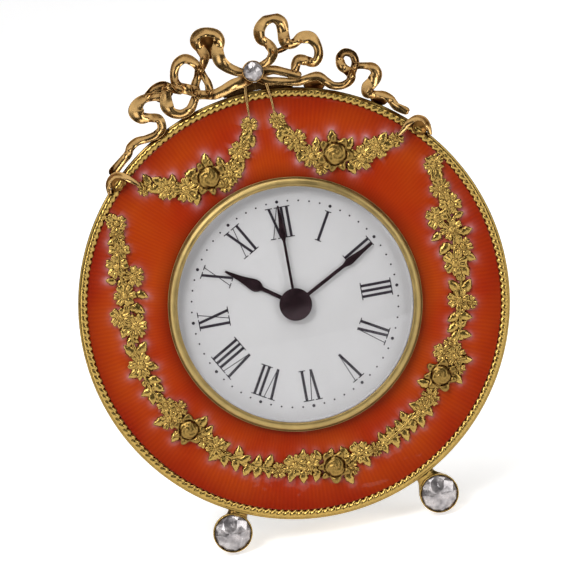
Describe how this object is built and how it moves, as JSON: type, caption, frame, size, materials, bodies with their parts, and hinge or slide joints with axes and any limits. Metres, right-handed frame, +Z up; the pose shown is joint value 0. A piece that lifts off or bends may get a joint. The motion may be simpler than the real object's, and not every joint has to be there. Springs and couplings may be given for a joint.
{
  "type": "pendulette clock",
  "caption": "Small round desk clock: red enamelled plate with gilt flower garlands, ribbon bow on top, white Roman dial, jewelled ball feet and a folding rear strut.",
  "frame": {"origin": "on the table, under the middle of the clock's overall width and depth", "axes": "+Z up, -Y out of the front, +X to the right seen from the front; the face leans back 10 degrees"},
  "size_m": [0.1, 0.0562, 0.1201],
  "materials": {
    "gilt_case": "pale antique gilding, polished on the high spots, brown in the hollows",
    "gilt_ornament": "pale antique gilding, polished on the high spots, brown in the hollows",
    "gilt_bezel": "polished gilding",
    "red_enamel": "translucent red enamel over engine-turned rays, glossy",
    "clear_stone": "faceted clear crystal",
    "crystal_glass": "clear, polished",
    "white_dial": "satin white",
    "pale_ring": "satin pale grey",
    "dark_hands": "satin black brown",
    "black_plastic": "fine moulded texture",
    "white_plastic": "moulded",
    "gear_plastic": "moulded acetal",
    "steel": "turned",
    "copper_wire": "enamelled copper wire",
    "board": "green laminate",
    "grip_rubber": "matt"
  },
  "bodies": {
    "case": {"case_body": "gilt_case", "rim_band": "gilt_bezel", "rope_border": "gilt_ornament", "enamel_plate": "red_enamel", "back_plate": "gilt_case", "back_screws": "steel", "foot_collet_left": "gilt_ornament", "foot_collet_right": "gilt_ornament", "foot_stone_left": "clear_stone", "foot_stone_right": "clear_stone", "bow_left": "gilt_ornament", "bow_right": "gilt_ornament", "bow_saddle": "gilt_ornament", "bow_collet": "gilt_ornament", "bow_stone": "clear_stone", "tail_wires": "gilt_ornament", "rim_loop_left": "gilt_ornament", "rim_loop_right": "gilt_ornament", "swag_left": "gilt_ornament", "swag_right": "gilt_ornament", "garland_left": "gilt_ornament", "garland_right": "gilt_ornament", "bezel": "gilt_bezel", "crystal": "crystal_glass", "dial_ring": "pale_ring", "dial": "white_dial", "insert_cup": "black_plastic", "grip_ring": "grip_rubber", "battery": "steel", "main_plate": "white_plastic", "train_bridge": "white_plastic", "movement_screws": "steel", "stator": "steel", "coil_core": "steel", "coil_winding": "copper_wire", "circuit_board": "board", "quartz_can": "steel", "contact_minus": "steel", "contact_plus": "steel", "hinge_bracket": "gilt_case", "hinge_pin": "steel", "bracket_screws": "steel"},
    "seconds": {"seconds_wheel": "gear_plastic", "second_hand": "dark_hands", "hand_cap": "dark_hands"},
    "rotor_body": {"rotor": "steel"},
    "intermediate": {"intermediate_wheel": "gear_plastic"},
    "third": {"third_wheel": "gear_plastic"},
    "centre": {"centre_wheel": "gear_plastic"},
    "minutes": {"cannon_pinion": "gear_plastic", "minute_hand": "dark_hands"},
    "minute_work": {"minute_wheel": "gear_plastic"},
    "hours": {"hour_wheel": "gear_plastic", "hour_hand": "dark_hands"},
    "setting": {"setting_arbor": "gear_plastic", "setting_knob": "black_plastic"},
    "strut": {"strut_leg": "gilt_case"},
    "door": {"battery_door": "black_plastic"}
  },
  "joints": [
    {"name": "seconds_spin", "type": "hinge", "parent": "case", "child": "seconds", "pos_m": [0, -0.01706, 0.05407], "axis": [0, 0.9848, -0.1736], "continuous": true},
    {"name": "rotor_spin", "type": "hinge", "parent": "case", "child": "rotor_body", "pos_m": [0.00876, -0.01848, 0.04602], "axis": [0, 0.9848, -0.1736], "continuous": true},
    {"name": "intermediate_spin", "type": "hinge", "parent": "case", "child": "intermediate", "pos_m": [0.00606, -0.01767, 0.05062], "axis": [0, 0.9848, -0.1736], "continuous": true},
    {"name": "third_spin", "type": "hinge", "parent": "case", "child": "third", "pos_m": [-0.00589, -0.01647, 0.05742], "axis": [0, 0.9848, -0.1736], "continuous": true},
    {"name": "centre_spin", "type": "hinge", "parent": "case", "child": "centre", "pos_m": [0, -0.01706, 0.05407], "axis": [0, 0.9848, -0.1736], "continuous": true},
    {"name": "minute_spin", "type": "hinge", "parent": "case", "child": "minutes", "pos_m": [0, -0.01706, 0.05407], "axis": [0, 0.9848, -0.1736], "continuous": true},
    {"name": "minute_wheel_spin", "type": "hinge", "parent": "case", "child": "minute_work", "pos_m": [0.003, -0.01616, 0.05919], "axis": [0, 0.9848, -0.1736], "continuous": true},
    {"name": "hour_spin", "type": "hinge", "parent": "case", "child": "hours", "pos_m": [0, -0.01706, 0.05407], "axis": [0, 0.9848, -0.1736], "continuous": true},
    {"name": "setting_spin", "type": "hinge", "parent": "case", "child": "setting", "pos_m": [0.0082, -0.01563, 0.06214], "axis": [0, 0.9848, -0.1736], "continuous": true},
    {"name": "strut_hinge", "type": "hinge", "parent": "case", "child": "strut", "pos_m": [0, 0.00286, 0.08643], "axis": [1, 0, 0], "range_deg": [-25, 0]},
    {"name": "battery_door_slide", "type": "slide", "parent": "case", "child": "door", "axis": [-1, 0, 0], "range_m": [0, 0.013]}
  ],
  "couplings": [
    {"joint": "rotor_spin", "follows": "seconds_spin", "ratio": 30},
    {"joint": "intermediate_spin", "follows": "seconds_spin", "ratio": -6},
    {"joint": "third_spin", "follows": "seconds_spin", "ratio": -0.13333},
    {"joint": "centre_spin", "follows": "seconds_spin", "ratio": 0.016667},
    {"joint": "minute_wheel_spin", "follows": "minute_spin", "ratio": -0.33333},
    {"joint": "hour_spin", "follows": "minute_spin", "ratio": 0.083333},
    {"joint": "setting_spin", "follows": "minute_spin", "ratio": 1}
  ]
}
